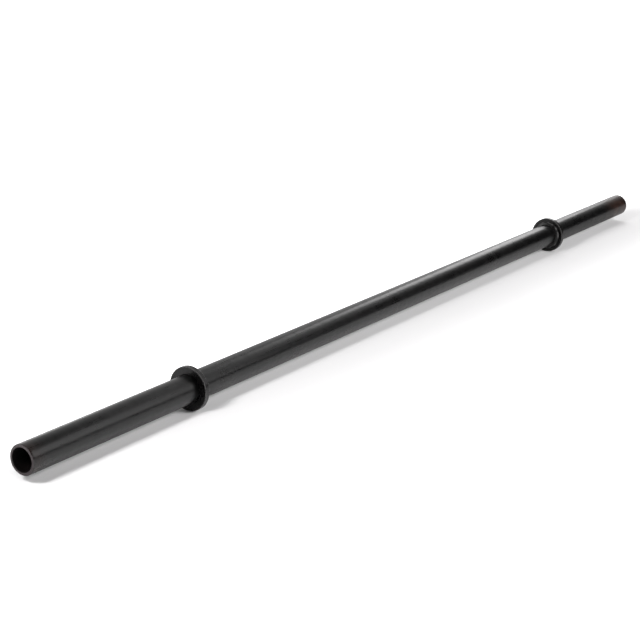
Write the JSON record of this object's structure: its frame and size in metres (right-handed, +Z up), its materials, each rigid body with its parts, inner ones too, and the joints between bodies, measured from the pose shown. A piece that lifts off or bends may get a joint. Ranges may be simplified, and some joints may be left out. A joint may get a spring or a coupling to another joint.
{
  "type": "axle barbell",
  "caption": "Straight hollow axle barbell of one diameter, open at both ends, with a welded ring collar near each end that stops the weight plates.",
  "frame": {"origin": "on the axis of the bar, halfway along its length", "axes": "+X along the bar towards its right end, +Z up, +Y towards the back; the left end is the one nearer the camera in the picture"},
  "size_m": [2.055, 0.075, 0.075],
  "materials": {
    "tube_coating": "satin black coating on steel tube",
    "collar_coating": "satin black coating on turned steel",
    "weld_coating": "satin black coating over a rippled weld bead"
  },
  "bodies": {
    "root": {"axle_tube": "tube_coating", "left_collar": "collar_coating", "right_collar": "collar_coating", "left_weld": "weld_coating", "right_weld": "weld_coating"}
  },
  "joints": []
}
